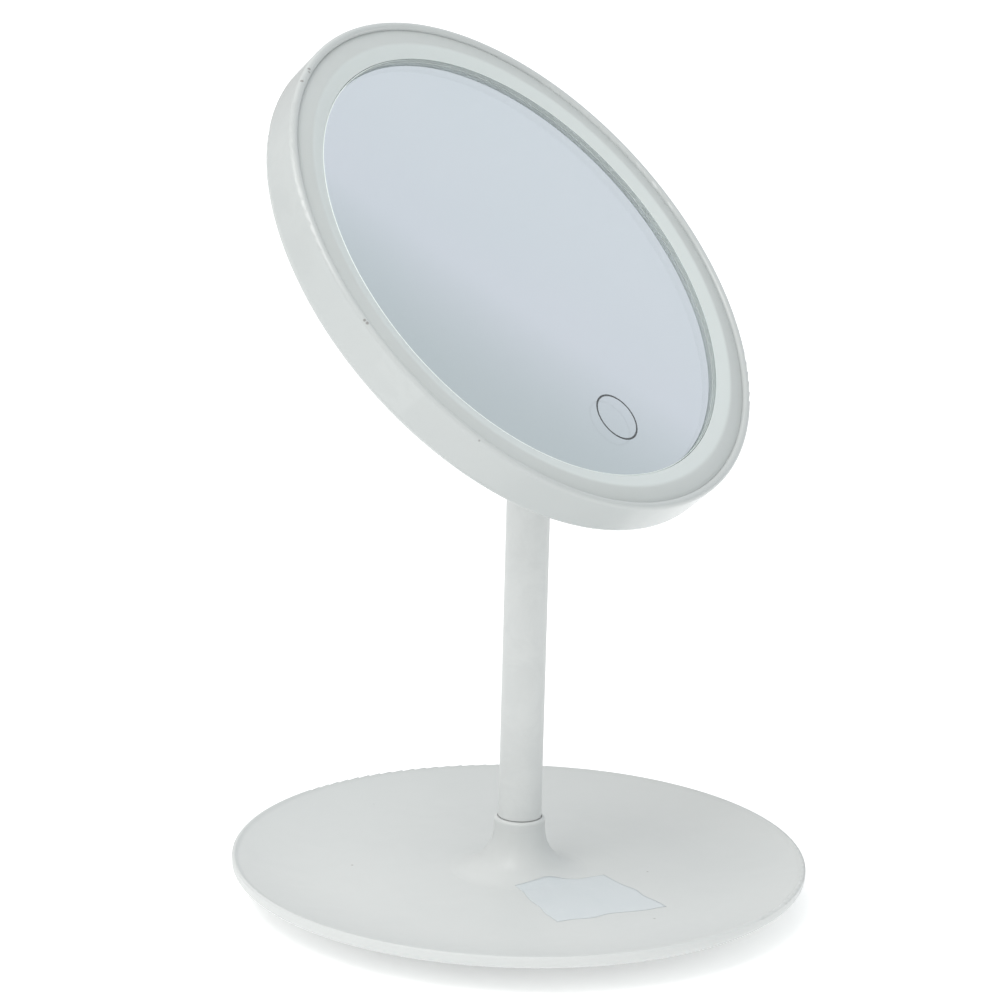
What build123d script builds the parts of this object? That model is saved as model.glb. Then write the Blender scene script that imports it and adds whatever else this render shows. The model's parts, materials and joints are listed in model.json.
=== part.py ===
"""Lighted vanity mirror: a round mirror head on a tube stem that stands in a tray base.

Row frame, millimetres: +Z up, the mirror faces -Y and leans back, the origin is on the table
under the middle of the base. Head parts are drawn in the head's own frame, where x is across,
y is up the face and z points out of the glass, with the origin at the middle of the glass's
front, and are then set in place by HEAD.
"""
from build123d import *
import math
import os

# ---- driving dimensions -------------------------------------------------------------------
# Base
base_r = 95.0            # outer radius of the tray's rim
rim_top = 13.5           # height of the rim above the table
bowl_floor = 8.0         # height of the tray's floor, around the collar
tray_wall = 1.7
foot_h = 1.2             # thickness of a rubber foot
foot_r = 7.0
foot_pcr = 60.0          # radius of the circle of feet and of cover screws
cover_t = 1.5
cover_flat_r = 71.0
weight_r = 55.0
weight_hole_r = 16.0
weight_t = 2.3
edge_round = 2.2         # radius that the tray's outer wall turns under with
edge_low = 9.3           # lowest point of that wall
collar_r = 8.5           # outside of the collar that the stem stands in
collar_round = 1.0
collar_top = 26.1
flare_r = 14.5           # the collar's trumpet foot
socket_floor = 11.0      # bottom of the collar's bore
socket_t = 2.5           # thickness of that floor
# Stem
tube_r = 7.15
tube_wall = 1.15
tube_bottom = 11.6
swivel_gap = 0.10        # radial clearance of the tube in the collar
groove = 0.5             # shadow groove round the tube at the collar's mouth
pivot_z = 163.9          # height of the tilt axis
# Head
tilt_rest = 40.7         # degrees that the face leans back from upright
pivot_depth = 28.0       # tilt axis behind the glass's front
pivot_drop = 37.4        # tilt axis below the glass's middle
glass_r = 80.0
glass_t = 4.0
shell_r = 93.5
rim_wall = 2.75          # shell wall round the diffuser; its front edge is fully rounded
rim_centre = 1.2         # z of the rounded edge's centre
ledge_z = -6.5           # the step that the carrier rests on
back_edge = -12.8        # z of the back at its outer edge
back_mid = -19.5         # z of the back at its middle
back_round = 3.0
back_wall = 2.2
touch_drop = 58.3        # touch mark below the glass's middle
touch_r = 8.15
touch_line = 0.5         # width of the touch mark's line
shell_boss_r = 76.0      # circle of the shell's six screws
led_count = 60
led_circle = 85.4

os.makedirs("parts", exist_ok=True)

tilt = math.radians(tilt_rest)
head_y = pivot_drop * math.sin(tilt) - pivot_depth * math.cos(tilt)
head_z = pivot_z + pivot_drop * math.cos(tilt) + pivot_depth * math.sin(tilt)
HEAD = Plane(
    origin=(0, head_y, head_z),
    x_dir=(1, 0, 0),
    z_dir=(0, -math.cos(tilt), math.sin(tilt)),
)


# ---- helpers ------------------------------------------------------------------------------
def save(name, *shapes):
    """Writes one node; several shapes stay separate solids in it."""
    solids = [solid for shape in shapes for solid in shape.solids()]
    shape = solids[0] if len(solids) == 1 else Compound(children=solids)
    export_step(shape, f"parts/{name}.step")


def save_head(name, *shapes):
    save(name, *[HEAD * shape for shape in shapes])


def turned(*edges):
    """A solid of revolution round Z from edges drawn as (radius, 0, height)."""
    return revolve(make_face(Wire(edges)), Axis.Z)


def turned_points(*points):
    return revolve(make_face(Polyline(*[(r, 0, z) for r, z in points], close=True)), Axis.Z)


def path(*points):
    """Straight edges through (radius, height) points, not closed."""
    return [Line((a[0], 0, a[1]), (b[0], 0, b[1])) for a, b in zip(points, points[1:])]


def arc(a, m, b):
    return ThreePointArc((a[0], 0, a[1]), (m[0], 0, m[1]), (b[0], 0, b[1]))


def round_over(r, z, radius):
    """Quarter-round from the top edge at height z to the wall at radius r."""
    turn = radius * (1 - math.sqrt(0.5))
    return arc((r - radius, z), (r - turn, z - turn), (r, z - radius))


def disc(r, z0, z1, x=0.0, y=0.0):
    """A cylinder along Z from z0 to z1."""
    return Pos(x, y, (z0 + z1) / 2) * Cylinder(r, z1 - z0)


def washer(r_out, r_in, z0, z1, x=0.0, y=0.0):
    return disc(r_out, z0, z1, x, y) - disc(r_in, z0, z1, x, y)


def across(r, x0, x1, y=0.0, z=0.0):
    """A cylinder along X from x0 to x1."""
    return Pos((x0 + x1) / 2, y, z) * Rot(0, 90, 0) * Cylinder(r, x1 - x0)


def block(x0, x1, y0, y1, z0, z1, corner=0.0):
    """A box, with its upright edges rounded if corner is given."""
    box = Pos((x0 + x1) / 2, (y0 + y1) / 2, (z0 + z1) / 2) * Box(x1 - x0, y1 - y0, z1 - z0)
    return fillet(box.edges().filter_by(Axis.Z), corner) if corner else box


def around(count, r, first=0.0):
    """(x, y) of count places on a circle."""
    step = 2 * math.pi / count
    angles = [math.radians(first) + i * step for i in range(count)]
    return [(r * math.cos(a), r * math.sin(a)) for a in angles]


def dome_z(r, middle, rise_r, rise):
    """Height at radius r of a shallow dome that rises by rise at rise_r from middle."""
    sphere = (rise_r**2 + rise**2) / (2 * rise)
    return middle + sphere - math.sqrt(sphere**2 - r**2)


def self_tapper(x, y, seat, tip, head_r=2.6, head_h=1.6, shank_r=1.2):
    """A pan-head screw that points up (+Z), with its head below seat and a cross recess."""
    screw = disc(head_r, seat - head_h, seat, x, y) + disc(shank_r, seat, tip, x, y)
    slot_depth = 0.8
    for w, h in ((2.6, 0.6), (0.6, 2.6)):
        low = seat - head_h
        screw -= block(x - w / 2, x + w / 2, y - h / 2, y + h / 2, low, low + slot_depth)
    return screw


# ---- base ---------------------------------------------------------------------------------
bowl_start = collar_r + flare_r
bowl_turn = 62.0         # radius where the flat floor starts to curve up
bowl_end = base_r - 2.6  # radius at the foot of the lip
bowl_curve = 102.0       # radius of that curve
cover_top = edge_low + 1.0
cover_inside = foot_h + cover_t


def bowl_z(r, lift=0.0):
    """Height of the tray's floor at radius r, raised by lift."""
    past = max(0.0, r - bowl_turn)
    return bowl_floor + lift + bowl_curve - math.sqrt(bowl_curve**2 - past**2)


def bowl_arc(r0, r1, lift=0.0):
    """The floor's upward curve from radius r0 to r1."""
    return arc(*[(r, bowl_z(r, lift)) for r in (r0, (r0 + r1) / 2, r1)])


def flare_z(r, lift=0.0):
    """Height of the collar's trumpet foot at radius r."""
    return bowl_floor + flare_r + lift - math.sqrt(flare_r**2 - (bowl_start - r) ** 2)


def base_tray():
    """Tray with its collar, turned in one piece, with bosses for the cover's screws."""
    bore_r = tube_r + swivel_gap
    mouth_r = tube_r + 0.25
    mouth_depth = 1.5
    flare_top = bowl_floor + flare_r
    flare_mid = bowl_start - flare_r * math.sqrt(0.5)
    under_end = 86.0
    edge_mid = edge_round * math.sqrt(0.5)
    edge_in = base_r - edge_round
    lip_mid = (base_r - 1.95, rim_top - 0.60)
    lip_start = (base_r - 1.4, rim_top - 0.24)
    lip_end = (base_r, rim_top - 0.65)
    wall_in = base_r - edge_round - 1.5
    wall_top = cover_top + 0.1
    socket_under = socket_floor - socket_t
    top = [
        *path((bore_r, socket_floor), (bore_r, collar_top - mouth_depth)),
        *path((bore_r, collar_top - mouth_depth), (mouth_r, collar_top - mouth_depth + 0.4)),
        *path(
            (mouth_r, collar_top - mouth_depth + 0.4),
            (mouth_r, collar_top),
            (collar_r - collar_round, collar_top),
        ),
        round_over(collar_r, collar_top, collar_round),
        *path((collar_r, collar_top - collar_round), (collar_r, flare_top)),
        arc((collar_r, flare_top), (flare_mid, flare_z(flare_mid)), (bowl_start, bowl_floor)),
        *path((bowl_start, bowl_floor), (bowl_turn, bowl_floor)),
        bowl_arc(bowl_turn, bowl_end),
        arc((bowl_end, bowl_z(bowl_end)), lip_mid, lip_start),
        arc(lip_start, (base_r - 0.7, rim_top), lip_end),
    ]
    under = [
        *path(lip_end, (base_r, edge_low + edge_round)),
        arc(
            (base_r, edge_low + edge_round),
            (edge_in + edge_mid, edge_low + edge_round - edge_mid),
            (edge_in, edge_low),
        ),
        *path(
            (edge_in, edge_low),
            (wall_in, edge_low),
            (wall_in, wall_top),
            (under_end + 2.5, wall_top),
            (under_end, bowl_z(under_end, -tray_wall)),
        ),
        bowl_arc(under_end, bowl_turn, -tray_wall),
        *path(
            (bowl_turn, bowl_floor - tray_wall),
            (17.0, bowl_floor - tray_wall),
            (11.0, socket_under),
            (3.2, socket_under),
            (3.2, socket_floor),
            (bore_r, socket_floor),
        ),
    ]
    tray = turned(*top, *under)
    for x, y in around(4, foot_pcr, 45):
        tray += disc(3.4, cover_inside, bowl_z(foot_pcr, 0.5 - tray_wall), x, y)
        tray -= disc(1.25, cover_inside, bowl_z(foot_pcr, 0.2 - tray_wall), x, y)
    return tray


def base_cover():
    """Saucer-shaped underside; its edge sits inside the tray's outer wall."""
    outer_r = base_r - edge_round - 1.7
    slope = (edge_low - foot_h) / (outer_r - cover_flat_r)
    lift = cover_t * math.sqrt(1 + slope**2)
    inner_flat_r = cover_flat_r + (cover_t - lift) / slope
    inner_top_r = cover_flat_r + (cover_top - foot_h - lift) / slope
    cover = turned_points(
        (0, foot_h),
        (cover_flat_r, foot_h),
        (outer_r, edge_low),
        (outer_r, cover_top),
        (inner_top_r, cover_top),
        (inner_flat_r, cover_inside),
        (0, cover_inside),
    )
    for x, y in around(4, foot_pcr, 45):
        cone = Pos(x, y, foot_h + 0.6) * Cone(2.75, 1.4, 1.2)
        cover -= cone + disc(1.4, foot_h, cover_inside, x, y)
    return cover


def cover_screw(x, y):
    """Countersunk self-tapper, hidden under a foot."""
    head = Pos(x, y, foot_h + 0.6) * Cone(2.6, 1.2, 1.2)
    slots = block(x - 1.3, x + 1.3, y - 0.3, y + 0.3, foot_h, foot_h + 0.7)
    slots += block(x - 0.3, x + 0.3, y - 1.3, y + 1.3, foot_h, foot_h + 0.7)
    return head + disc(1.15, foot_h + 1.1, bowl_floor - 2.0, x, y) - slots


def base_weight():
    low = cover_inside + 0.3
    return washer(weight_r, weight_hole_r, low, low + weight_t)


def rubber_foot(x, y):
    foot = disc(foot_r, 0, foot_h, x, y)
    low = foot.edges().filter_by(GeomType.CIRCLE).sort_by(Axis.Z)[0]
    return chamfer(low, 0.3)


def tray_label():
    """A thin blank film lying on the tray's floor, with one edge against the collar's foot."""
    under = 0.02
    top = under + 0.12
    inner = 20.0
    mid = (inner + bowl_start) / 2
    corners = [(-18, -15), (12, -28), (1, -60), (-35, -42)]
    outline = make_face(Polyline(*corners, close=True))
    patch = extrude(fillet(outline.vertices(), 1.5), rim_top)

    def foot_arc(lift):
        return [(r, flare_z(r, lift)) for r in (inner, mid, bowl_start)]

    skin = turned(
        arc(*foot_arc(under)),
        *path(
            (bowl_start, bowl_floor + under),
            (bowl_turn, bowl_floor + under),
            (bowl_turn, bowl_floor + top),
            (bowl_start, bowl_floor + top),
        ),
        arc(*reversed(foot_arc(top))),
        *path((inner, flare_z(inner, top)), (inner, flare_z(inner, under))),
    )
    return skin & patch


save("base_tray", base_tray())
save("base_cover", base_cover())
save("base_weight", base_weight())
save("weight_tape", washer(45.0, 30.0, cover_inside, cover_inside + 0.3))
save("cover_screws", *[cover_screw(x, y) for x, y in around(4, foot_pcr, 45)])
save("rubber_feet", *[rubber_foot(x, y) for x, y in around(4, foot_pcr, 45)])
save("swivel_washer", washer(tube_r - 0.1, 3.3, socket_floor, tube_bottom - 0.1))
save("tray_label", tray_label())


# ---- stem ---------------------------------------------------------------------------------
tube_top = pivot_z - 11.0
tube_inner = tube_r - tube_wall
plug_r = tube_inner - 0.05
tongue_half = 4.9        # half the tongue's thickness, along X
tongue_r = 6.8
pin_r = 2.5
running = 0.05           # radial clearance on the hinge pin


def stem_head():
    """Plug, shoulder and tongue at the top of the tube; the hinge pin goes through the tongue."""
    shoulder = disc(tube_r, tube_top, tube_top + 2.0)
    shoulder = fillet(shoulder.edges().group_by(Axis.Z)[-1], 0.9)
    tongue = block(
        -tongue_half, tongue_half, -tongue_r, tongue_r, tube_top + 0.5, pivot_z
    )
    tongue &= disc(tube_r - 0.1, tube_top, pivot_z)
    eye = across(tongue_r, -tongue_half, tongue_half, 0, pivot_z)
    plug = disc(plug_r, tube_top - 16, tube_top)
    plug = chamfer(plug.edges().group_by(Axis.Z)[0], 0.8)
    bore = across(pin_r + running, -tongue_half, tongue_half, 0, pivot_z)
    return plug + shoulder + tongue + eye - bore


def stem_foot():
    plug = disc(plug_r, tube_bottom, 31.0)
    plug = chamfer(plug.edges().group_by(Axis.Z)[-1], 0.8)
    return plug - disc(3.55, tube_bottom, 22.0)


def stem_bolt():
    """Bolt that holds the stem down and lets it turn; its head is under the collar's floor."""
    under = socket_floor - socket_t
    bolt = disc(2.05, under - 1.0, 20.0) + disc(4.2, under - 3.6, under - 0.6)
    hexagon = extrude(Pos(0, 0, under - 3.6) * RegularPolygon(2.0, 6), 1.8)
    return bolt - hexagon


def stem_tube():
    tube = washer(tube_r, tube_inner, tube_bottom, tube_top)
    low = collar_top - groove / 2
    return tube - washer(tube_r + 1, tube_r - groove, low, low + groove)


save("stem_tube", stem_tube())
save("stem_head", stem_head())
save("stem_foot", stem_foot())
save("foot_insert", washer(3.5, 2.1, tube_bottom, 21.5))
save("stem_bolt", stem_bolt())
save(
    "retaining_washer",
    washer(6.0, 2.2, socket_floor - socket_t - 0.6, socket_floor - socket_t - 0.1),
)


# ---- head: casing -------------------------------------------------------------------------
pivot_y = -pivot_drop
pivot_zl = -pivot_depth
pocket_floor = -16.4     # seat of the hinge bracket in the shell's back
plate_out = -19.6        # outer face of the hinge bracket's plate
plate_x = 17.0
plate_y = 13.0
bracket_screws_at = [(sx * 13.3, pivot_y + sy * 9.3) for sx in (-1, 1) for sy in (-1, 1)]
shell_screws_at = around(6, shell_boss_r, 30)
boss_meet = -9.5         # where the shell's bosses meet the carrier's
usb_at = (30.0, -60.0)
lens_at = (14.0, -64.0)


def back_z(r, inside=0.0):
    """Height of the back's outer face at radius r, or of its inner face."""
    rise_r = shell_r - back_round
    return dome_z(r, back_mid, rise_r, back_edge - back_mid) + inside


def head_shell():
    """Cup-shaped casing: rounded front edge, ledge for the carrier, shallow domed back."""
    flat_r = shell_r - back_round
    inner_r = shell_r - rim_wall
    ledge_r = inner_r - 1.4
    half = rim_wall / 2
    turn = back_round * math.sqrt(0.5)
    inner_dome_r = 88.0
    cup = turned(
        arc((0.0, back_mid), (flat_r / 2, back_z(flat_r / 2)), (flat_r, back_edge)),
        arc(
            (flat_r, back_edge),
            (flat_r + turn, back_edge + back_round - turn),
            (shell_r, back_edge + back_round),
        ),
        *path((shell_r, back_edge + back_round), (shell_r, rim_centre)),
        arc(
            (shell_r, rim_centre),
            (shell_r - half, rim_centre + half),
            (inner_r, rim_centre),
        ),
        *path(
            (inner_r, rim_centre),
            (inner_r, ledge_z),
            (ledge_r, ledge_z),
            (ledge_r, -10.2),
            (inner_dome_r, back_z(inner_dome_r, back_wall)),
        ),
        arc(
            (inner_dome_r, back_z(inner_dome_r, back_wall)),
            (inner_dome_r / 2, back_z(inner_dome_r / 2, back_wall)),
            (0.0, back_mid + back_wall),
        ),
        *path((0.0, back_mid + back_wall), (0.0, back_mid)),
    )
    pad = block(-20, 20, pivot_y - 16, pivot_y + 16, -17.8, pocket_floor + 2.5, 4.0)
    shell = cup + pad
    for x, y in shell_screws_at:
        shell += disc(4.2, back_z(shell_boss_r, 1.0), boss_meet, x, y)
    shell -= block(
        -plate_x, plate_x, pivot_y - plate_y, pivot_y + plate_y, -25, pocket_floor, 4.0
    )
    for x, y in bracket_screws_at:
        shell -= disc(1.5, pocket_floor, pocket_floor + 3, x, y)
    for x, y in shell_screws_at:
        shell -= disc(3.1, -20, -12.0, x, y) + disc(1.6, -12.0, boss_meet, x, y)
    ux, uy = usb_at
    shell -= block(ux - 4.9, ux + 4.9, uy - 2.0, uy + 2.0, -20, -10, 1.9)
    shell -= disc(1.35, -20, -10, *lens_at)
    return shell


def diffuser_ring():
    """Frosted channel over the lights: a bevel up from the glass, a ridge, a fall to the rim."""
    inner = glass_r + 0.3
    outer = shell_r - rim_wall - 0.12
    foot = carrier_front
    skin = 1.5
    bevel_end = (84.3, 1.5)
    ridge = (85.2, 1.68)
    fall_start = (86.2, 1.62)
    edge = (outer - 0.3, 1.1)
    return turned(
        *path((inner, foot), (inner, 0.05), bevel_end),
        arc(bevel_end, ridge, fall_start),
        *path(fall_start, edge, (outer, 0.8), (outer, foot), (outer - 1.3, foot)),
        *path(
            (outer - 1.3, foot),
            (outer - 1.3, edge[1] - skin),
            (fall_start[0], fall_start[1] - skin),
            (bevel_end[0], bevel_end[1] - skin),
            (inner + 1.0, 0.3 - skin),
            (inner + 1.0, foot),
            (inner, foot),
        ),
    )


def mirror_carrier():
    """Plate that holds the glass and the light ring, with bosses for the shell's screws."""
    plate = disc(shell_r - rim_wall - 0.25, carrier_back, carrier_front)
    for x, y in shell_screws_at:
        plate += disc(3.4, boss_meet, carrier_back, x, y)
        plate -= disc(1.25, boss_meet, carrier_back + 0.5, x, y)
    for x, y in board_posts_at:
        plate += disc(2.6, board_front, carrier_back, x, y)
        plate -= disc(1.05, board_front, carrier_back + 0.5, x, y)
    plate -= disc(10.0, carrier_back, carrier_front, 0, -touch_drop)
    plate -= disc(1.8, carrier_back, carrier_front, *led_hole_at)
    return plate


silver_back = -glass_t - 0.15
carrier_front = -4.95
carrier_back = carrier_front - 1.5
board_front = -8.0
board_back = board_front - 1.6
board_posts_at = [(-17.0, -50.5), (37.0, -50.5), (37.0, -67.0)]
led_hole_at = (-60.0, -60.0)

save_head("head_shell", head_shell())
save_head("diffuser_ring", diffuser_ring())
glass = disc(glass_r, -glass_t, 0)
save_head("mirror_glass", chamfer(glass.edges().filter_by(GeomType.CIRCLE), 0.3))


def mirror_silver():
    """Silver coat with the touch mark's ring left bare in it."""
    ring = washer(
        touch_r + touch_line / 2,
        touch_r - touch_line / 2,
        silver_back,
        -glass_t,
        0,
        -touch_drop,
    )
    return disc(glass_r - 0.3, silver_back, -glass_t) - ring


save_head("mirror_silver", mirror_silver())
save_head(
    "mirror_tape",
    washer(glass_r - 1, 69.0, carrier_front, silver_back),
    disc(30.0, carrier_front, silver_back),
)
save_head("mirror_carrier", mirror_carrier())


# ---- head: lights and electronics ---------------------------------------------------------
led_foot = carrier_front + 1.0


def led_chip(i):
    size = 2.8
    chip = block(-size / 2, size / 2, -size / 2, size / 2, led_foot, led_foot + 0.8)
    return Rot(0, 0, 360 / led_count * i) * Pos(led_circle, 0, 0) * chip


def touch_spring():
    """Coil that joins the touch pad to the board."""
    top = silver_back - 0.4
    wire_r = 0.25
    height = top - board_front - 2 * wire_r
    coil = Helix(pitch=height / 3, height=height, radius=2.2)
    section = Plane(origin=coil @ 0, z_dir=coil % 0) * Circle(wire_r)
    return Pos(0, -touch_drop, board_front + wire_r) * sweep(section, path=coil)


def control_board():
    board = block(-21, 41, -71, -47, board_back, board_front, 2.0)
    for x, y in board_posts_at:
        board -= disc(1.2, board_back, board_front, x, y)
    return board


def usb_socket():
    """Upright socket: a metal sleeve with a contact tongue, its mouth level with the back."""
    ux, uy = usb_at
    mouth = back_z(math.hypot(ux, uy), 0.3)
    sleeve = block(ux - 4.45, ux + 4.45, uy - 1.6, uy + 1.6, mouth, board_back, 1.55)
    sleeve -= block(ux - 4.15, ux + 4.15, uy - 1.3, uy + 1.3, mouth, board_back - 0.8, 1.25)
    return sleeve + block(ux - 3.3, ux + 3.3, uy - 0.35, uy + 0.35, mouth + 0.8, board_back)


def indicator_lens():
    lx, ly = lens_at
    back = back_z(math.hypot(lx, ly))
    return disc(1.3, back, back + 2.6, lx, ly) + disc(2.2, back + 2.6, back + 3.4, lx, ly)


def battery_cell():
    cell = block(-30, 30, 6, 44, -12.0, -7.0)
    return fillet(cell.edges().filter_by(Axis.X), 1.8)


def lead(radius, *points):
    """A round wire along straight runs joined by tangent arcs as large as the runs allow."""
    corners = []
    for a, b, c in zip(points, points[1:], points[2:]):
        u, v = Vector(*b) - Vector(*a), Vector(*c) - Vector(*b)
        half_turn = math.radians(u.get_angle(v)) / 2
        corners.append(0.45 * min(u.length, v.length) / math.tan(half_turn))
    route = FilletPolyline(*points, radius=corners)
    start = Plane(origin=route @ 0, z_dir=route % 0) * Circle(radius)
    print("lead length", round(route.length, 1), "radii", [round(r, 1) for r in corners])
    return sweep(start, path=route)


save_head("led_board", washer(89.2, 81.6, carrier_front, led_foot))
save_head("led_chips", *[led_chip(i) for i in range(led_count)])
save_head("touch_pad", disc(9.3, silver_back - 0.4, silver_back, 0, -touch_drop))
save_head("touch_spring", touch_spring())
save_head("control_board", control_board())
save_head(
    "board_components",
    block(2, 9, -60, -53, board_back - 1.4, board_back),
    block(13, 19, -57, -51, board_back - 2.6, board_back, 1.0),
    block(-8, -4, -69, -66, board_back - 1.0, board_back),
    block(-2, 0, -69, -67, board_back - 0.7, board_back),
    block(lens_at[0] - 0.8, lens_at[0] + 0.8, -64.6, -63.4, board_back - 0.7, board_back),
)
save_head("battery_connector", block(-16, -10, -58.5, -53.5, board_back - 3.4, board_back))
save_head("led_connector", block(-19, -14, -68.5, -63.5, board_back - 3.4, board_back))
save_head("usb_socket", usb_socket())
save_head("indicator_lens", indicator_lens())
save_head("battery_cell", battery_cell())
save_head(
    "battery_tape",
    block(-25, -10, 12, 38, -7.0, carrier_back),
    block(10, 25, 12, 38, -7.0, carrier_back),
)


def battery_lead(x):
    """From the cell's lower edge to the connector's upper face."""
    z = -10.5
    end_x = -13.0 + (x + 22.0) * 0.5
    return lead(
        0.6,
        (x, 6.0, z),
        (x, -4.0, z),
        (x - 3.0, -18.0, z - 0.4),
        (end_x - 2.0, -34.0, z - 0.6),
        (end_x, -45.0, z - 0.8),
        (end_x, -53.5, z - 0.8),
    )


def led_lead(offset):
    """From the light ring, through the carrier, to the lower connector's side."""
    hx, hy = led_hole_at
    return lead(
        0.5,
        (hx, hy + offset, carrier_front),
        (hx, hy + offset, -8.6),
        (hx + 4.0, hy - 1.0 + offset, -11.0),
        (hx + 16.0, hy - 3.5 + offset, -11.5),
        (hx + 30.0, hy - 5.5 + offset, -11.3),
        (-19.0, -66.0 + offset, -11.3),
    )


save_head("battery_lead_red", battery_lead(-22.0))
save_head("battery_lead_black", battery_lead(-19.0))
save_head("led_lead_red", led_lead(0.7))
save_head("led_lead_black", led_lead(-0.7))
save_head(
    "board_screws",
    *[self_tapper(x, y, board_back, carrier_back - 0.2, 2.0, 1.2, 1.0) for x, y in board_posts_at],
)
save_head(
    "shell_screws",
    *[self_tapper(x, y, -12.0, -7.0) for x, y in shell_screws_at],
)
plug_face = back_z(shell_boss_r) + 0.25
save_head(
    "screw_plugs",
    *[disc(3.05, plug_face, -13.7, x, y) for x, y in shell_screws_at],
)


# ---- head: hinge --------------------------------------------------------------------------
lug_in = 5.5
lug_out = 10.5
lug_r = 7.0
counterbore_r = 4.3
counterbore = 2.6


def hinge_bracket():
    """Plate set in the shell's back, with two lugs for the hinge pin."""
    plate = block(
        -plate_x + 0.1,
        plate_x - 0.1,
        pivot_y - plate_y + 0.1,
        pivot_y + plate_y - 0.1,
        plate_out,
        pocket_floor,
        3.9,
    )
    outer_face = plate.faces().sort_by(Axis.Z)[0]
    bracket = fillet(outer_face.edges(), 0.8)
    for side in (-1, 1):
        x0, x1 = sorted((side * lug_in, side * lug_out))
        lug = block(x0, x1, pivot_y - lug_r, pivot_y + lug_r, pivot_zl, plate_out + 0.5)
        lug += across(lug_r, x0, x1, pivot_y, pivot_zl)
        bracket += lug
        x2, x3 = sorted((side * lug_out, side * (lug_out - counterbore)))
        bracket -= across(counterbore_r, x2, x3, pivot_y, pivot_zl)
    bracket -= across(pin_r, -lug_out, lug_out, pivot_y, pivot_zl)
    for x, y in bracket_screws_at:
        bracket -= disc(1.25, plate_out + 0.9, pocket_floor, x, y)
    return bracket


def hinge_pin():
    """Pin with a slotted head in one counterbore and a flat end for the nut in the other."""
    seat = lug_out - counterbore
    pin = across(pin_r, -seat - 1.9, seat, pivot_y, pivot_zl)
    pin += across(4.1, seat, seat + 1.5, pivot_y, pivot_zl)
    slot = block(
        seat + 0.8, seat + 1.5, pivot_y - 3, pivot_y + 3, pivot_zl - 0.5, pivot_zl + 0.5
    )
    return pin - slot


def hinge_nut():
    seat = lug_out - counterbore
    nut = Plane.YZ.offset(-seat - 1.8) * RegularPolygon(4.1, 6)
    body = Pos(0, pivot_y, pivot_zl) * extrude(nut, 1.8)
    return body - across(pin_r, -seat - 2.0, -seat, pivot_y, pivot_zl)


def hinge_cap(side):
    """Push-in cap over a counterbore, with a low rounded face."""
    x0, x1 = sorted((side * (lug_out - 0.6), side * (lug_out + 0.5)))
    cap = across(counterbore_r - 0.05, x0, x1, pivot_y, pivot_zl)
    outer = cap.faces().sort_by(Axis.X)[-1 if side > 0 else 0]
    return fillet(outer.edges(), 0.45)


def bracket_screw(x, y):
    """Pan-head screw from inside the shell, pointing out of the back."""
    seat = pocket_floor + 2.5
    screw = self_tapper(0, 0, 0, 4.6, 2.5, 1.4, 1.2)
    return Pos(x, y, seat) * Rot(180, 0, 0) * screw


save_head("hinge_bracket", hinge_bracket())
save_head("bracket_screws", *[bracket_screw(x, y) for x, y in bracket_screws_at])
save_head("hinge_pin", hinge_pin())
save_head("hinge_nut", hinge_nut())
save_head(
    "hinge_washers",
    *[
        across(6.4, *sorted((s * 5.0, s * lug_in)), pivot_y, pivot_zl)
        - across(pin_r + 0.02, *sorted((s * 5.0, s * lug_in)), pivot_y, pivot_zl)
        for s in (-1, 1)
    ],
)
save_head("hinge_caps", hinge_cap(-1), hinge_cap(1))
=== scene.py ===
"""Lighted vanity mirror: materials, four pieces drawn again, floor, light and camera.

Sizes of the drawn pieces are millimetres, and MM turns them into the scene's metres; the camera,
the lights and the texture scales are in metres. HEAD, the head's own frame, is worked out from the
packed glass, so pieces drawn in it land where the CAD is.
"""
import json
import math

import bmesh
import bpy
from mathutils import Matrix, Vector, noise


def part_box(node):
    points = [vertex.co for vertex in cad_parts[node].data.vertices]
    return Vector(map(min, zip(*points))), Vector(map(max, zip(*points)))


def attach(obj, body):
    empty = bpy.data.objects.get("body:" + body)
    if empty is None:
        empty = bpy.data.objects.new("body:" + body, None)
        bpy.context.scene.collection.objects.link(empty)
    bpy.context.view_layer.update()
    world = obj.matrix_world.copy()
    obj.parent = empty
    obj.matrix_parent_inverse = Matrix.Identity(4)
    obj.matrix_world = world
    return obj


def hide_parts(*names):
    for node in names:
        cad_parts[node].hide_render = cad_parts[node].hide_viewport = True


MM = 0.001

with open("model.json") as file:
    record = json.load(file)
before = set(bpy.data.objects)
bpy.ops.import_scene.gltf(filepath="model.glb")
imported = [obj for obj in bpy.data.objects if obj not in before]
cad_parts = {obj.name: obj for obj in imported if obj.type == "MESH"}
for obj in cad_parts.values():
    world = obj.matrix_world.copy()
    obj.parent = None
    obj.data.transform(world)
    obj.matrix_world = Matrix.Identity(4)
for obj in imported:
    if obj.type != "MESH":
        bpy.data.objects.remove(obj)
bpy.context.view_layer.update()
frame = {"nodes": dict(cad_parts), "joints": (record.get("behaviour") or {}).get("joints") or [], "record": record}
nodes = frame["nodes"]

# ---- camera ---------------------------------------------------------------------------------
VIEW_AZIMUTH = -53.25
VIEW_ELEVATION = 12.62
VIEW_ROLL = 1.48
VIEW_DISTANCE = 0.950
VIEW_AIM = Vector((-0.00923, 0.0, 0.1330))   # x along the picture's right, z up
LENS_MM = 105.7
SENSOR_MM = 36.0
CLIP_START = 0.05
CLIP_END = 60.0


def view_axes(azimuth, elevation):
    """Right, up and back of a camera that looks along +Y at azimuth 0."""
    a, e = math.radians(azimuth), math.radians(elevation)
    back = Vector((math.sin(a) * math.cos(e), -math.cos(a) * math.cos(e), math.sin(e)))
    right = Vector((math.cos(a), math.sin(a), 0.0))
    return right, back.cross(right), back


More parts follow.
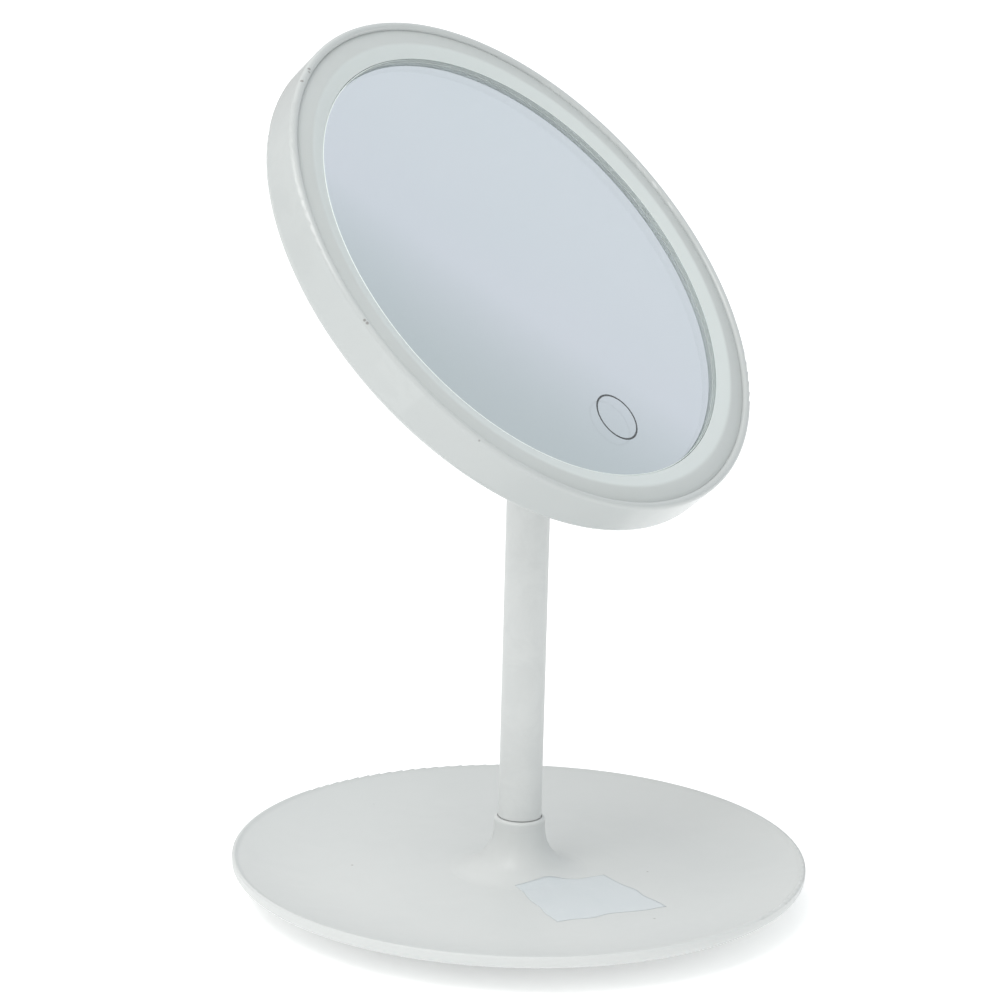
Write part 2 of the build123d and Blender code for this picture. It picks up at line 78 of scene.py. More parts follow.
def make_camera():
    """The render's camera, rolled a little about its own line of sight."""
    right, up, back = view_axes(VIEW_AZIMUTH, VIEW_ELEVATION)
    target = right * VIEW_AIM.x + Vector((0.0, 0.0, VIEW_AIM.z))
    roll = math.radians(VIEW_ROLL)
    across = right * math.cos(roll) + up * math.sin(roll)
    upward = up * math.cos(roll) - right * math.sin(roll)
    data = bpy.data.cameras.new("camera")
    data.lens = LENS_MM
    data.sensor_width = SENSOR_MM
    data.clip_start = CLIP_START
    data.clip_end = CLIP_END
    camera = bpy.data.objects.new("camera", data)
    bpy.context.scene.collection.objects.link(camera)
    turn = Matrix((across, upward, back)).transposed()
    camera.matrix_world = Matrix.Translation(target + back * VIEW_DISTANCE) @ turn.to_4x4()
    bpy.context.scene.camera = camera


# ---- sizes, in millimetres ------------------------------------------------------------------
# Heights in the head are measured out of the glass's front.
ROUND_STEPS = 288        # flats round the head's turned pieces

# Glass and its silver
GLASS_R = 80.0
GLASS_T = 4.0
GLASS_GRIND = 0.3        # width of the ground corner
SILVER_R = GLASS_R - 0.1
SILVER_DARK_R = 79.2     # the coat darkens from here out
SILVER_T = 0.15
SILVER_SINK = 0.02       # the coat's face sits this far inside the glass, so the two never coincide
TOUCH_DROP = 58.3        # touch mark below the glass's middle
TOUCH_R = 8.15
TOUCH_LINE = 0.68        # width of the bare line in the silver
TOUCH_STEPS = 96

# Frosted channel; a pair is a radius and a height
DIFFUSER_IN = GLASS_R + 0.15
DIFFUSER_OUT = 90.71
DIFFUSER_FOOT = -4.95
DIFFUSER_SKIN = 1.5      # thickness over the lights
DIFFUSER_EDGE = 0.05     # height beside the glass
DIFFUSER_EDGE_UNDER = 0.3 - DIFFUSER_SKIN
DIFFUSER_RIM = 1.18      # height beside the shell
DIFFUSER_SOFTEN = (0.25, 0.1)
DIFFUSER_WALL_IN = 1.0
DIFFUSER_WALL_OUT = 1.3
DIFFUSER_SHARP = 32.0    # degrees; sharper edges stay crisp
BEVEL_END = (84.2, 1.5)
SHADE_FULL_R = 85.7          # the channel's painted shade, a greyer tint, is full from here out
FALL_START = (86.3, 1.62)
RIDGE_RISE = 0.14
RIDGE_STEPS = 8

# Nicks in the shell's rim, drawn as dark spots of painted shade, as (radius, angle in degrees, size)
RIM_CREST = 2.3
RIM_NICKS = (
    (92.4, 123.5, 0.9),
    (92.0, 124.4, 0.7),
    (92.8, 128.2, 0.8),
    (92.9, 187.2, 0.6),
    (92.7, 187.9, 0.7),
)

# Tray's floor and the film on it
TRAY_FLOOR = 8.0
FLARE_R = 14.5           # the collar's trumpet foot
FLARE_END = 23.0         # radius where that foot meets the floor
LABEL_CORNERS = ((-16.0, -10.5), (12.5, -26.0), (1.5, -58.5), (-33.0, -40.0))
LABEL_T = 0.04
LABEL_LIFT = 0.01
LABEL_WAVE = 0.06        # height of its waves
LABEL_WAVE_RATE = 0.16
LABEL_WAVE_SLICE = 4.0   # where the waves are cut from the noise
LABEL_STRAY = 1.6        # how far its outline wanders
LABEL_STRAY_RATE = 0.11
LABEL_STEPS = 48


# ---- the head's own frame -------------------------------------------------------------------
def head_matrix():
    """Head frame in the shared frame: origin on the glass's front, +Y up the face, +Z out of it.

    The tilt's lower stop is the upright head, so its size is the lean at rest.
    """
    low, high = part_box("mirror_glass")
    joint = next(j for j in frame["joints"] if j["name"] == "head_tilt")
    tilt = math.radians(-joint["range_deg"][0])
    normal = Vector((0.0, -math.cos(tilt), math.sin(tilt)))
    up = Vector((0.0, math.sin(tilt), math.cos(tilt)))
    middle = (low + high) / 2 + normal * (GLASS_T / 2 * MM)
    turn = Matrix((Vector((1.0, 0.0, 0.0)), up, normal)).transposed()
    return Matrix.Translation(middle) @ turn.to_4x4()


HEAD = head_matrix()


# ---- node helpers ---------------------------------------------------------------------------
class Nodes:
    """Short ways to add and link shader nodes in one material or world."""

    def __init__(self, tree):
        self.tree = tree
        tree.nodes.clear()

    def add(self, kind, inputs=None, **settings):
        node = self.tree.nodes.new(kind)
        for key, value in settings.items():
            setattr(node, key, value)
        for key, value in (inputs or {}).items():
            self.feed(node.inputs[key], value)
        return node

    def feed(self, socket, value):
        if isinstance(value, bpy.types.NodeSocket):
            self.tree.links.new(value, socket)
        else:
            socket.default_value = value

    def math(self, operation, a, b):
        return self.add("ShaderNodeMath", {0: a, 1: b}, operation=operation).outputs[0]

    def noise(self, where, scale, detail=3.0, roughness=0.55, distortion=0.0):
        inputs = {"Vector": where, "Scale": scale, "Detail": detail}
        inputs.update({"Roughness": roughness, "Distortion": distortion})
        return self.add("ShaderNodeTexNoise", inputs).outputs["Fac"]

    def ramp(self, factor, *stops):
        """Colour ramp from (position, colour) stops."""
        node = self.add("ShaderNodeValToRGB", {"Fac": factor})
        band = node.color_ramp
        while len(band.elements) < len(stops):
            band.elements.new(0.5)
        for element, (position, colour) in zip(band.elements, stops):
            element.position = position
            element.color = (*colour, 1.0)
        return node.outputs["Color"]

    def steps(self, value, low, high, out_low=0.0, out_high=1.0):
        """Smooth step from out_low to out_high as the value goes from low to high."""
        inputs = {"Value": value, "From Min": low, "From Max": high}
        inputs.update({"To Min": out_low, "To Max": out_high})
        node = self.add("ShaderNodeMapRange", inputs, interpolation_type="SMOOTHSTEP")
        return node.outputs["Result"]

    def mix(self, factor, a, b):
        """Blend of two colours, each a socket or (r, g, b)."""
        node = self.add("ShaderNodeMix", data_type="RGBA")
        colours = [s for s in node.inputs if s.type == "RGBA"]
        self.feed(node.inputs[0], factor)
        for socket, value in zip(colours, (a, b)):
            self.feed(socket, (*value, 1.0) if isinstance(value, tuple) else value)
        return next(s for s in node.outputs if s.type == "RGBA")

    def bump(self, height, strength, distance, normal=None):
        inputs = {"Height": height, "Strength": strength, "Distance": distance}
        node = self.add("ShaderNodeBump", inputs)
        if normal:
            self.feed(node.inputs["Normal"], normal)
        return node.outputs["Normal"]


def new_material(name):
    material = bpy.data.materials.new(name)
    material.use_nodes = True
    return material, Nodes(material.node_tree)


def close_material(material, kit, inputs):
    """Ends a material with one principled shader that has these inputs, and hands it back."""
    shader = kit.add("ShaderNodeBsdfPrincipled", inputs)
    kit.add("ShaderNodeOutputMaterial", {"Surface": shader.outputs[0]})
    return material


def object_place(kit):
    """The shaded place in the object's own frame, in metres."""
    return kit.add("ShaderNodeTexCoord").outputs["Object"]


def edges_mask(kit):
    """1 on convex edges, 0 on flats."""
    pointiness = kit.add("ShaderNodeNewGeometry").outputs["Pointiness"]
    return kit.steps(pointiness, 0.51, 0.54)


def specks(kit, where, per_metre, radius, share):
    """Sparse small round marks: 1 inside a mark. Share is the part of the cells that has one."""
    cells = kit.add(
        "ShaderNodeTexVoronoi", {"Vector": where, "Scale": per_metre, "Randomness": 1.0}
    )
    parts = kit.add("ShaderNodeSeparateColor", {"Color": cells.outputs["Color"]})
    chosen = kit.math("LESS_THAN", parts.outputs[0], share)
    size = kit.math("MULTIPLY", parts.outputs[1], radius * per_metre)
    near = kit.steps(cells.outputs["Distance"], size, 0.0)
    return kit.math("MULTIPLY", near, chosen)


# ---- materials ------------------------------------------------------------------------------
BRUSHING = (900.0, 900.0, 40.0)   # streaks per metre along x, y and z
PLASTIC_IOR = 1.49
GLASS_IOR = 1.52


def moulded_plastic(name, tint, shade, gloss, grain=0.10, dust=0.8, coat=0.0, nicks=()):
    """Satin moulded plastic: cloudy tint, fine texture, paler worn edges and a little dust.

    Each nick is a dark spot of painted shade on the head's rim, as (radius, angle in degrees, size).
    """
    material, kit = new_material(name)
    where = object_place(kit)
    cloud = kit.noise(where, 16.0, 4.0)
    handling = kit.noise(where, 55.0, 5.0, 0.65, 0.6)
    colour = kit.ramp(cloud, (0.30, shade), (0.70, tint))
    worn = kit.math("MULTIPLY", edges_mask(kit), kit.steps(handling, 0.42, 0.62))
    pale = tuple(min(1.0, c * 1.06) for c in tint)
    colour = kit.mix(kit.math("MULTIPLY", worn, 0.6), colour, pale)
    marks = specks(kit, where, 66.0, 0.0008, dust)
    # Painted shade: each rim nick is a dark spot of colour, not a dent in the mesh.
    for radius, degrees, size in nicks:
        turn = math.radians(degrees)
        spot = Vector((radius * math.cos(turn), radius * math.sin(turn), RIM_CREST)) * MM
        away = kit.add("ShaderNodeVectorMath", {0: where, 1: HEAD @ spot}, operation="DISTANCE")
        ragged = kit.math("ADD", away.outputs["Value"], kit.math("MULTIPLY", handling, size * MM))
        marks = kit.math("MAXIMUM", marks, kit.steps(ragged, size * 1.4 * MM, size * 0.9 * MM))
    # Dust specks and the nicks' painted shade both take this dark colour.
    colour = kit.mix(kit.math("MULTIPLY", marks, 0.8), colour, (0.20, 0.19, 0.18))
    roughness = kit.steps(handling, 0.30, 0.72, gloss - 0.06, gloss + 0.08)
    fine = kit.noise(where, 2600.0, 2.0)
    wavy = kit.noise(where, 34.0, 2.0)
    normal = kit.bump(wavy, 0.10, 0.0012)
    normal = kit.bump(fine, grain, 0.00006, normal)
    return close_material(material, kit, {
        "Base Color": colour,
        "Roughness": roughness,
        "Normal": normal,
        "IOR": PLASTIC_IOR,
        "Coat Weight": coat,
        "Coat Roughness": 0.16,
    })


def head_radius(kit):
    """Distance from the head's axis, in metres, from the place on the object."""
    where = object_place(kit)
    head = {"Vector": where, "Location": HEAD.translation, "Rotation": HEAD.to_euler()}
    local = kit.add("ShaderNodeMapping", head, vector_type="TEXTURE")
    parts = kit.add("ShaderNodeSeparateXYZ", {"Vector": local.outputs[0]})
    flat = kit.add("ShaderNodeCombineXYZ", {0: parts.outputs[0], 1: parts.outputs[1]})
    length = kit.add("ShaderNodeVectorMath", {0: flat.outputs[0]}, operation="LENGTH")
    return length.outputs["Value"], where


def frosted_diffuser():
    """Milky light channel: a paler tint of painted light on the bevel beside the glass, and a greyer tint of
    painted shade over its hollow part.
    """
    material, kit = new_material("frosted_diffuser")
    radius, where = head_radius(kit)
    # Painted light and shade: the tint goes from pale on the bevel to grey over the hollow part, standing in for
    # light lost into it.
    outer = kit.steps(radius, BEVEL_END[0] * MM, SHADE_FULL_R * MM)
    cloud = kit.noise(where, 22.0, 4.0)
    tint = kit.mix(outer, (0.600, 0.645, 0.640), (0.505, 0.533, 0.528))
    tint = kit.mix(kit.steps(cloud, 0.35, 0.7, 0.0, 0.22), tint, (0.56, 0.595, 0.60))
    smear = kit.noise(where, 45.0, 3.0)
    roughness = kit.steps(smear, 0.3, 0.75, 0.34, 0.44)
    frost = kit.noise(where, 1800.0, 3.0)
    return close_material(material, kit, {
        "Base Color": tint,
        "Roughness": roughness,
        "Normal": kit.bump(frost, 0.10, 0.00006),
        "IOR": PLASTIC_IOR,
        "Subsurface Weight": 0.15,
        "Subsurface Radius": (0.003, 0.0028, 0.0026),
        "Subsurface Scale": 1.0,
    })


def float_glass():
    """Clear glass with a faint green body and a few polishing marks."""
    material, kit = new_material("float_glass")
    where = object_place(kit)
    smear = kit.noise(where, 40.0, 5.0, 0.7, 1.2)
    roughness = kit.steps(smear, 0.55, 0.95, 0.0, 0.03)
    wipe = kit.noise(where, 9.0, 2.0)
    return close_material(material, kit, {
        "Base Color": (0.965, 0.99, 0.983, 1.0),
        "Roughness": roughness,
        "Normal": kit.bump(wipe, 0.02, 0.0006),
        "Transmission Weight": 1.0,
        "IOR": GLASS_IOR,
    })


def ground_glass():
    """The disc's ground edge: grey-green, cloudy and grained."""
    material, kit = new_material("ground_glass")
    where = object_place(kit)
    cloud = kit.noise(where, 60.0, 4.0)
    grain = kit.noise(where, 2200.0, 3.0)
    return close_material(material, kit, {
        "Base Color": kit.ramp(cloud, (0.3, (0.83, 0.90, 0.88)), (0.7, (0.88, 0.94, 0.92))),
        "Roughness": kit.steps(cloud, 0.3, 0.7, 0.35, 0.5),
        "Normal": kit.bump(grain, 0.2, 0.00005),
        "IOR": GLASS_IOR,
    })


def silver_coat():
    """Silver behind the glass, with a very slight cloudiness and darkening at its edge."""
    material, kit = new_material("silver_coat")
    radius, where = head_radius(kit)
    cloud = kit.noise(where, 12.0, 4.0)
    colour = kit.ramp(cloud, (0.3, (0.875, 0.905, 0.93)), (0.7, (0.90, 0.915, 0.945)))
    edge = kit.steps(radius, SILVER_DARK_R * MM, SILVER_R * MM, 0.0, 0.3)
    colour = kit.mix(edge, colour, (0.55, 0.58, 0.57))
    roughness = kit.steps(cloud, 0.3, 0.7, 0.008, 0.02)
    return close_material(material, kit, {
        "Base Color": colour,
        "Roughness": roughness,
        "Metallic": 1.0,
    })


def metal(name, bright, dull, gloss):
    """Plated or rolled metal: streaked tone, brighter edges and uneven polish."""
    material, kit = new_material(name)
    where = object_place(kit)
    streaks = kit.add("ShaderNodeMapping", {"Vector": where, "Scale": BRUSHING})
    grain = kit.noise(streaks.outputs[0], 1.0, 3.0)
    stain = kit.noise(where, 120.0, 4.0, 0.6, 0.4)
    colour = kit.ramp(stain, (0.32, dull), (0.68, bright))
    pale = tuple(min(1.0, c * 1.25) for c in bright)
    colour = kit.mix(kit.math("MULTIPLY", edges_mask(kit), 0.7), colour, pale)
    roughness = kit.steps(stain, 0.3, 0.7, gloss - 0.08, gloss + 0.10)
    normal = kit.bump(grain, 0.12, 0.00008)
    return close_material(material, kit, {
        "Base Color": colour,
        "Roughness": roughness,
        "Normal": normal,
        "Metallic": 1.0,
    })


def circuit_board():
    """Green solder mask with buried tracks and pale pads."""
    material, kit = new_material("circuit_board")
    where = object_place(kit)
    grid = kit.add("ShaderNodeTexBrick", {"Vector": where, "Scale": 420.0, "Mortar Size": 0.06})
    tracks = kit.math("SUBTRACT", 1.0, grid.outputs["Fac"])
    weave = kit.noise(where, 900.0, 2.0)
    mask = kit.ramp(weave, (0.3, (0.012, 0.095, 0.050)), (0.7, (0.020, 0.130, 0.070)))
    colour = kit.mix(kit.math("MULTIPLY", tracks, 0.35), mask, (0.035, 0.20, 0.105))
    pads = specks(kit, where, 380.0, 0.0009, 0.25)
    colour = kit.mix(pads, colour, (0.72, 0.71, 0.66))
    return close_material(material, kit, {
        "Base Color": colour,
        "Roughness": kit.steps(weave, 0.3, 0.7, 0.25, 0.42),
        "Normal": kit.bump(tracks, 0.3, 0.00005),
    })


def matte_solid(name, light, dark, scale, rough, grain):
    """Foam, rubber, epoxy, nylon and wire sleeves: mottled tone with grain of one size."""
    material, kit = new_material(name)
    where = object_place(kit)
    mottle = kit.noise(where, scale, 4.0, 0.6)
    fine = kit.noise(where, scale * 9.0, 3.0)
    colour = kit.ramp(mottle, (0.3, dark), (0.7, light))
    pale = tuple(min(1.0, c * 1.15 + 0.01) for c in light)
    colour = kit.mix(kit.math("MULTIPLY", edges_mask(kit), 0.4), colour, pale)
    return close_material(material, kit, {
        "Base Color": colour,
        "Roughness": kit.steps(mottle, 0.3, 0.7, rough - 0.07, rough + 0.07),
        "Normal": kit.bump(fine, grain, 0.0001),
    })


def phosphor():
    """Yellow phosphor, finely grained."""
    material, kit = new_material("led_phosphor")
    where = object_place(kit)
    grain = kit.noise(where, 2400.0, 3.0)
    colour = kit.ramp(grain, (0.35, (0.80, 0.66, 0.16)), (0.65, (0.90, 0.80, 0.32)))
    return close_material(material, kit, {
        "Base Color": colour,
        "Roughness": kit.steps(grain, 0.3, 0.7, 0.30, 0.5),
        "Normal": kit.bump(grain, 0.2, 0.00004),
    })


def clear_film():
    """Thin bluish protective film, smudged, with paler creases."""
    material, kit = new_material("clear_film")
    where = object_place(kit)
    smudge = kit.noise(where, 60.0, 5.0, 0.7, 0.7)
    crease = kit.noise(where, 140.0, 2.0, 0.4, 2.5)
    colour = kit.ramp(smudge, (0.30, (0.585, 0.63, 0.65)), (0.70, (0.63, 0.665, 0.685)))
    line = kit.steps(crease, 0.62, 0.70)
    colour = kit.mix(kit.math("MULTIPLY", line, 0.15), colour, (0.68, 0.71, 0.72))
    return close_material(material, kit, {
        "Base Color": colour,
        "Roughness": kit.steps(smudge, 0.3, 0.7, 0.30, 0.5),
        "Normal": kit.bump(crease, 0.15, 0.0002),
    })


def floor_paint():
    """White floor with a barely visible tooth and a little light of its own."""
    material, kit = new_material("floor_paper")
    where = object_place(kit)
    tooth = kit.noise(where, 300.0, 4.0)
    broad = kit.noise(where, 0.8, 2.0)
    colour = kit.ramp(broad, (0.3, (0.93, 0.935, 0.935)), (0.7, (0.945, 0.945, 0.945)))
    return close_material(material, kit, {
        "Base Color": colour,
        "Roughness": 0.85,
        "Normal": kit.bump(tooth, 0.05, 0.0001),
        "Specular IOR Level": 0.15,
        "Emission Color": (1.0, 1.0, 1.0, 1.0),
        "Emission Strength": FLOOR_GLOW,
    })


def slot_materials():
    """One finished material for each material slot in the record."""
    white, grey = (0.628, 0.645, 0.639), (0.610, 0.629, 0.625)
    shell, shell_grey = (0.505, 0.530, 0.526), (0.487, 0.514, 0.513)
    steel, dull_steel = (0.62, 0.62, 0.61), (0.42, 0.42, 0.41)
    return {
        "white_plastic": moulded_plastic("white_plastic", white, grey, 0.42),
        "shell_plastic": moulded_plastic(
            "shell_plastic", shell, shell_grey, 0.34, 0.07, 0.3, 0.45, RIM_NICKS
        ),
        "diffuser": frosted_diffuser(),
        "glass": float_glass(),
        "silver": silver_coat(),
        "steel": metal("zinc_plated_steel", steel, dull_steel, 0.30),
        "ballast": metal("rolled_steel", (0.34, 0.34, 0.34), (0.20, 0.19, 0.18), 0.5),
        "brass_insert": metal("brass", (0.75, 0.58, 0.28), (0.52, 0.38, 0.17), 0.3),
        "copper": matte_solid(
            "carbon_pad", (0.030, 0.036, 0.040), (0.016, 0.020, 0.023), 400.0, 0.6, 0.2
        ),
        "cell": metal("cell_foil", (0.66, 0.67, 0.68), (0.50, 0.51, 0.52), 0.34),
        "board": circuit_board(),
        "led": phosphor(),
        "chip": matte_solid("epoxy", (0.03, 0.03, 0.032), (0.015, 0.015, 0.017), 700.0, 0.45, 0.2),
        "connector": matte_solid(
            "nylon_header", (0.82, 0.79, 0.71), (0.74, 0.70, 0.62), 300.0, 0.4, 0.1
        ),
        "foam_tape": matte_solid(
            "foam_tape", (0.84, 0.84, 0.81), (0.68, 0.68, 0.65), 700.0, 0.85, 0.5
        ),
        "carrier_plastic": moulded_plastic(
            "carrier_plastic", (0.70, 0.71, 0.70), (0.64, 0.65, 0.64), 0.5, 0.15, 0.2
        ),
        "red_wire": matte_solid(
            "red_sleeve", (0.48, 0.02, 0.015), (0.34, 0.012, 0.01), 250.0, 0.35, 0.05
        ),
        "black_wire": matte_solid(
            "black_sleeve", (0.03, 0.03, 0.03), (0.012, 0.012, 0.012), 250.0, 0.35, 0.05
        ),
        "rubber": matte_solid(
            "pale_silicone", (0.70, 0.71, 0.70), (0.58, 0.59, 0.58), 260.0, 0.7, 0.3
        ),
        "film": clear_film(),
        "nylon": matte_solid("nylon", (0.80, 0.80, 0.78), (0.72, 0.72, 0.70), 300.0, 0.4, 0.1),
        "lens": matte_solid(
            "light_lens", (0.84, 0.87, 0.84), (0.78, 0.81, 0.78), 300.0, 0.25, 0.05
        ),
    }


def dress_nodes(materials):
    """Gives every CAD node its slot's finished material."""
    slots = {s["node"]: s["material_slot"] for s in frame["record"]["subparts"]}
    for name, node in nodes.items():
        node.data.materials.clear()
        node.data.materials.append(materials[slots[name]])


# ---- pieces drawn here ----------------------------------------------------------------------
def add_piece(name, sheet, body, slot_name, node, materials):
    """Turns a finished bmesh into the piece that stands for one CAD node and rides its body."""
    bmesh.ops.recalc_face_normals(sheet, faces=sheet.faces)
    mesh = bpy.data.meshes.new(name)
    sheet.to_mesh(mesh)
    sheet.free()
    piece = bpy.data.objects.new(name, mesh)
    bpy.context.scene.collection.objects.link(piece)
    piece.data.materials.append(materials[slot_name])
    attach(piece, body)
    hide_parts(node)
    return piece


def circle_points(radius, height, count, middle=(0.0, 0.0)):
    """Points on a circle in the head's frame, turned into the shared frame."""
    points = []
    for i in range(count):
        turn = 2 * math.pi * i / count
        x = middle[0] + radius * math.cos(turn)
        y = middle[1] + radius * math.sin(turn)
        points.append(HEAD @ (Vector((x, y, height)) * MM))
    return points


def bridge(sheet, first, second):
    """Quads between two rings of vertices; a ring is closed."""
    count = len(first)
    for i in range(count):
        j = (i + 1) % count
        sheet.faces.new((first[i], first[j], second[j], second[i]))


def turned(sheet, profile, closed):
    """Turns (radius, height) points round the head's axis; returns the rings of vertices."""
    rings = [
        [sheet.verts.new(p) for p in circle_points(radius, height, ROUND_STEPS)]
        for radius, height in profile
    ]
    for first, second in zip(rings, rings[1:]):
        bridge(sheet, first, second)
    if closed:
        bridge(sheet, rings[-1], rings[0])
    return rings


def shade_round(piece, sharp_degrees):
    """Smooth shading that still breaks at edges sharper than the angle given."""
    for face in piece.data.polygons:
        face.use_smooth = True
    piece.data.set_sharp_from_angle(angle=math.radians(sharp_degrees))


def mirror_glass(materials):
    """The glass disc. Its faces are single flats, so reflections stay true; its edge is ground."""
    sheet = bmesh.new()
    profile = (
        (GLASS_R - GLASS_GRIND, 0.0),
        (GLASS_R, -GLASS_GRIND),
        (GLASS_R, GLASS_GRIND - GLASS_T),
        (GLASS_R - GLASS_GRIND, -GLASS_T),
    )
    rings = turned(sheet, profile, False)
    for face in sheet.faces:
        face.material_index = 1
    sheet.faces.new(rings[0])
    sheet.faces.new(rings[-1])
    piece = add_piece("glass_disc", sheet, "head", "glass", "mirror_glass", materials)
    piece.data.materials.append(ground_glass())


def rounded_ridge():
    """Points over the diffuser's ridge, from the bevel's end to the start of its fall."""
    points = []
    for i in range(RIDGE_STEPS + 1):
        share = i / RIDGE_STEPS
        radius = BEVEL_END[0] + (FALL_START[0] - BEVEL_END[0]) * share
        line = BEVEL_END[1] + (FALL_START[1] - BEVEL_END[1]) * share
        points.append((radius, line + RIDGE_RISE * 4 * share * (1 - share)))
    return points


def diffuser_ring(materials):
    """The frosted channel: bevel, rounded ridge and gentle fall, hollow over the lights."""
    under = [(radius, height - DIFFUSER_SKIN) for radius, height in (FALL_START, BEVEL_END)]
    profile = [
        (DIFFUSER_IN, DIFFUSER_FOOT),
        (DIFFUSER_IN, DIFFUSER_EDGE),
        *rounded_ridge(),
        (DIFFUSER_OUT - DIFFUSER_SOFTEN[0], DIFFUSER_RIM),
        (DIFFUSER_OUT, DIFFUSER_RIM - DIFFUSER_SOFTEN[1]),
        (DIFFUSER_OUT, DIFFUSER_FOOT),
        (DIFFUSER_OUT - DIFFUSER_WALL_OUT, DIFFUSER_FOOT),
        (DIFFUSER_OUT - DIFFUSER_WALL_OUT, DIFFUSER_RIM - DIFFUSER_SKIN),
        *under,
        (DIFFUSER_IN + DIFFUSER_WALL_IN, DIFFUSER_EDGE_UNDER),
        (DIFFUSER_IN + DIFFUSER_WALL_IN, DIFFUSER_FOOT),
    ]
    sheet = bmesh.new()
    turned(sheet, profile, True)
    piece = add_piece("diffuser_channel", sheet, "head", "diffuser", "diffuser_ring", materials)
    shade_round(piece, DIFFUSER_SHARP)


def mirror_silver(materials):
    """The silver coat, with the touch mark's ring left bare in it.

    Each side is a sheet filled between the outer edge and the mark, and a disc inside the mark.
    """
    touch = (0.0, -TOUCH_DROP)
    half = TOUCH_LINE / 2
    outlines = (
        (SILVER_R, (0.0, 0.0), ROUND_STEPS),
        (TOUCH_R + half, touch, TOUCH_STEPS),
        (TOUCH_R - half, touch, TOUCH_STEPS),
    )
    sheet = bmesh.new()
    walls = []
    for height in (SILVER_SINK - GLASS_T, -GLASS_T - SILVER_T):
        rings = [
            [sheet.verts.new(p) for p in circle_points(radius, height, count, middle)]
            for radius, middle, count in outlines
        ]
        edges = [
            sheet.edges.new((ring[i], ring[i - 1])) for ring in rings for i in range(len(ring))
        ]
        bmesh.ops.triangle_fill(sheet, edges=edges[:-TOUCH_STEPS], use_beauty=True)
        sheet.faces.new(rings[2])
        walls.append(rings)
    for first, second in zip(*walls):
        bridge(sheet, first, second)
    add_piece("silver_coat", sheet, "head", "silver", "mirror_silver", materials)


def tray_height(x, y):
    """Height of the tray's floor at a place, with the collar's trumpet foot."""
    radius = math.hypot(x, y)
    if radius >= FLARE_END:
        return TRAY_FLOOR
    return TRAY_FLOOR + FLARE_R - math.sqrt(FLARE_R**2 - (FLARE_END - radius) ** 2)


def label_point(u, v):
    """Where the film's point (u, v), each 0 to 1, lies seen from above."""
    back, right, front, left = (Vector(corner) for corner in LABEL_CORNERS)
    place = back.lerp(right, u).lerp(left.lerp(front, u), v)
    stray = noise.noise(Vector((place.x, place.y, 0.0)) * LABEL_STRAY_RATE) * LABEL_STRAY
    edge = max(abs(u - 0.5), abs(v - 0.5)) * 2
    outward = (place - (back + front) / 2).normalized()
    return place + outward * stray * edge**6


def tray_label(materials):
    """Thin film lying loosely on the tray's floor and up the foot of the collar."""
    sheet = bmesh.new()
    layers = []
    for lift in (LABEL_LIFT, LABEL_LIFT + LABEL_T):
        grid = []
        for i in range(LABEL_STEPS + 1):
            row = []
            for j in range(LABEL_STEPS + 1):
                place = label_point(i / LABEL_STEPS, j / LABEL_STEPS)
                spot = Vector((place.x, place.y, LABEL_WAVE_SLICE)) * LABEL_WAVE_RATE
                wave = 0.5 + 0.5 * noise.noise(spot)
                height = tray_height(place.x, place.y) + lift + wave * LABEL_WAVE
                row.append(sheet.verts.new(Vector((place.x, place.y, height)) * MM))
            grid.append(row)
        layers.append(grid)
    for grid in layers:
        for i in range(LABEL_STEPS):
            for j in range(LABEL_STEPS):
                corners = (grid[i][j], grid[i + 1][j], grid[i + 1][j + 1], grid[i][j + 1])
                sheet.faces.new(corners)
    last = LABEL_STEPS
    border = [(i, 0) for i in range(last)] + [(last, j) for j in range(last)]
    border += [(i, last) for i in range(last, 0, -1)] + [(0, j) for j in range(last, 0, -1)]
    bridge(sheet, *[[grid[i][j] for i, j in border] for grid in layers])
    piece = add_piece("tray_film", sheet, "base", "film", "tray_label", materials)
    for face in piece.data.polygons:
        face.use_smooth = True


# ---- stage, in metres and watts -------------------------------------------------------------
FLOOR_R = 30.0
FLOOR_STEPS = 128
FLOOR_GAP = 0.0001
FLOOR_GLOW = 0.28        # how brightly the floor shines by itself
LIGHT_AIM = (0.0, 0.0, 0.12)
KEY_PLACE = (-0.80, 0.0, 1.30)
KEY_SIZE = 0.8
KEY_WATTS = 6.0
KEY_COLOUR = (1.0, 0.99, 0.98)
SKY_SEEN = (1.0, 1.0, 1.0)   # the sky straight from the camera; the rest light the part
HORIZON = (0.56, 0.565, 0.565)
ZENITH = (1.18, 1.18, 1.17)
ZENITH_START = 0.8       # height in the sky where the zenith's colour is reached

# The part of the room that the mirror shows: its direction, its soft outline as cosines, the
# direction its tone changes in, and where along that the change starts and ends
WALL_TOWARD = Vector((0.798, -0.225, 0.559)).normalized()
WALL_EDGE = (0.55, 0.93)
WALL_ACROSS = Vector((1.0, 1.0, 0.0)).normalized()
WALL_SPAN = (0.355, 0.435)
WALL_TONES = (
    (0.0, (0.545, 0.590, 0.605)),
    (0.45, (0.708, 0.732, 0.780)),
    (1.0, (0.725, 0.758, 0.795)),
)


def make_floor():
    """A wide round floor, just under the feet."""
    mesh = bpy.data.meshes.new("floor")
    sheet = bmesh.new()
    bmesh.ops.create_circle(sheet, cap_ends=True, radius=FLOOR_R, segments=FLOOR_STEPS)
    sheet.to_mesh(mesh)
    sheet.free()
    floor = bpy.data.objects.new("floor", mesh)
    bpy.context.scene.collection.objects.link(floor)
    floor.data.materials.append(floor_paint())
    floor.location.z = -FLOOR_GAP


def aim(obj, place, target):
    """Puts a thing at a place, facing a target."""
    obj.location = place
    obj.rotation_euler = (Vector(target) - Vector(place)).to_track_quat("-Z", "Y").to_euler()


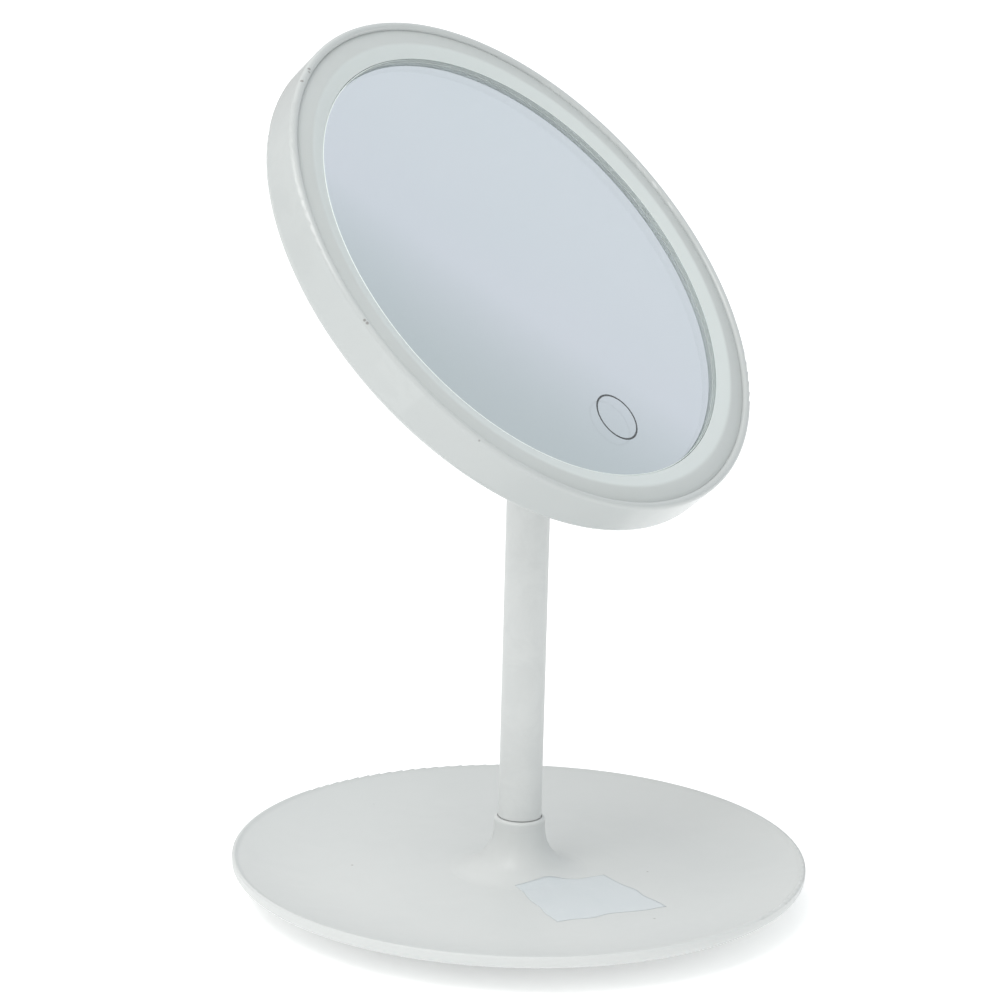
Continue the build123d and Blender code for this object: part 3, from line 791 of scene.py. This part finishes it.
def make_light(name, place, size, watts, colour):
    """A round soft light, aimed at the part."""
    data = bpy.data.lights.new(name, "AREA")
    data.shape = "DISK"
    data.size = size
    data.energy = watts
    data.color = colour
    light = bpy.data.objects.new(name, data)
    bpy.context.scene.collection.objects.link(light)
    aim(light, place, LIGHT_AIM)


def make_world():
    """White to the eye; to light and gloss, a soft room with one greyer, bluer side."""
    world = bpy.data.worlds.new("studio")
    bpy.context.scene.world = world
    world.use_nodes = True
    kit = Nodes(world.node_tree)
    ray = kit.add("ShaderNodeTexCoord").outputs["Generated"]
    facing = kit.add("ShaderNodeVectorMath", {0: ray, 1: WALL_TOWARD}, operation="DOT_PRODUCT")
    near = kit.steps(facing.outputs["Value"], *WALL_EDGE)
    side = kit.add("ShaderNodeVectorMath", {0: ray, 1: WALL_ACROSS}, operation="DOT_PRODUCT")
    wall = kit.ramp(kit.steps(side.outputs["Value"], *WALL_SPAN), *WALL_TONES)
    height = kit.add("ShaderNodeSeparateXYZ", {"Vector": ray}).outputs[2]
    air = kit.ramp(kit.steps(height, 0.0, ZENITH_START), (0.0, HORIZON), (1.0, ZENITH))
    room = kit.mix(near, air, wall)
    path = kit.add("ShaderNodeLightPath")
    seen = kit.add("ShaderNodeBackground", {"Color": (*SKY_SEEN, 1.0), "Strength": 1.0})
    lit = kit.add("ShaderNodeBackground", {"Color": room, "Strength": 1.0})
    both = kit.add(
        "ShaderNodeMixShader",
        {0: path.outputs["Is Camera Ray"], 1: lit.outputs[0], 2: seen.outputs[0]},
    )
    kit.add("ShaderNodeOutputWorld", {"Surface": both.outputs[0]})


def make_stage():
    """Floor, sky, key light and plain colour handling."""
    make_floor()
    make_world()
    make_light("key", KEY_PLACE, KEY_SIZE, KEY_WATTS, KEY_COLOUR)
    scene = bpy.context.scene
    scene.view_settings.view_transform = "Standard"
    scene.view_settings.look = "None"


# ---- build ----------------------------------------------------------------------------------
make_camera()
make_stage()
materials = slot_materials()
dress_nodes(materials)
mirror_glass(materials)
mirror_silver(materials)
diffuser_ring(materials)
tray_label(materials)
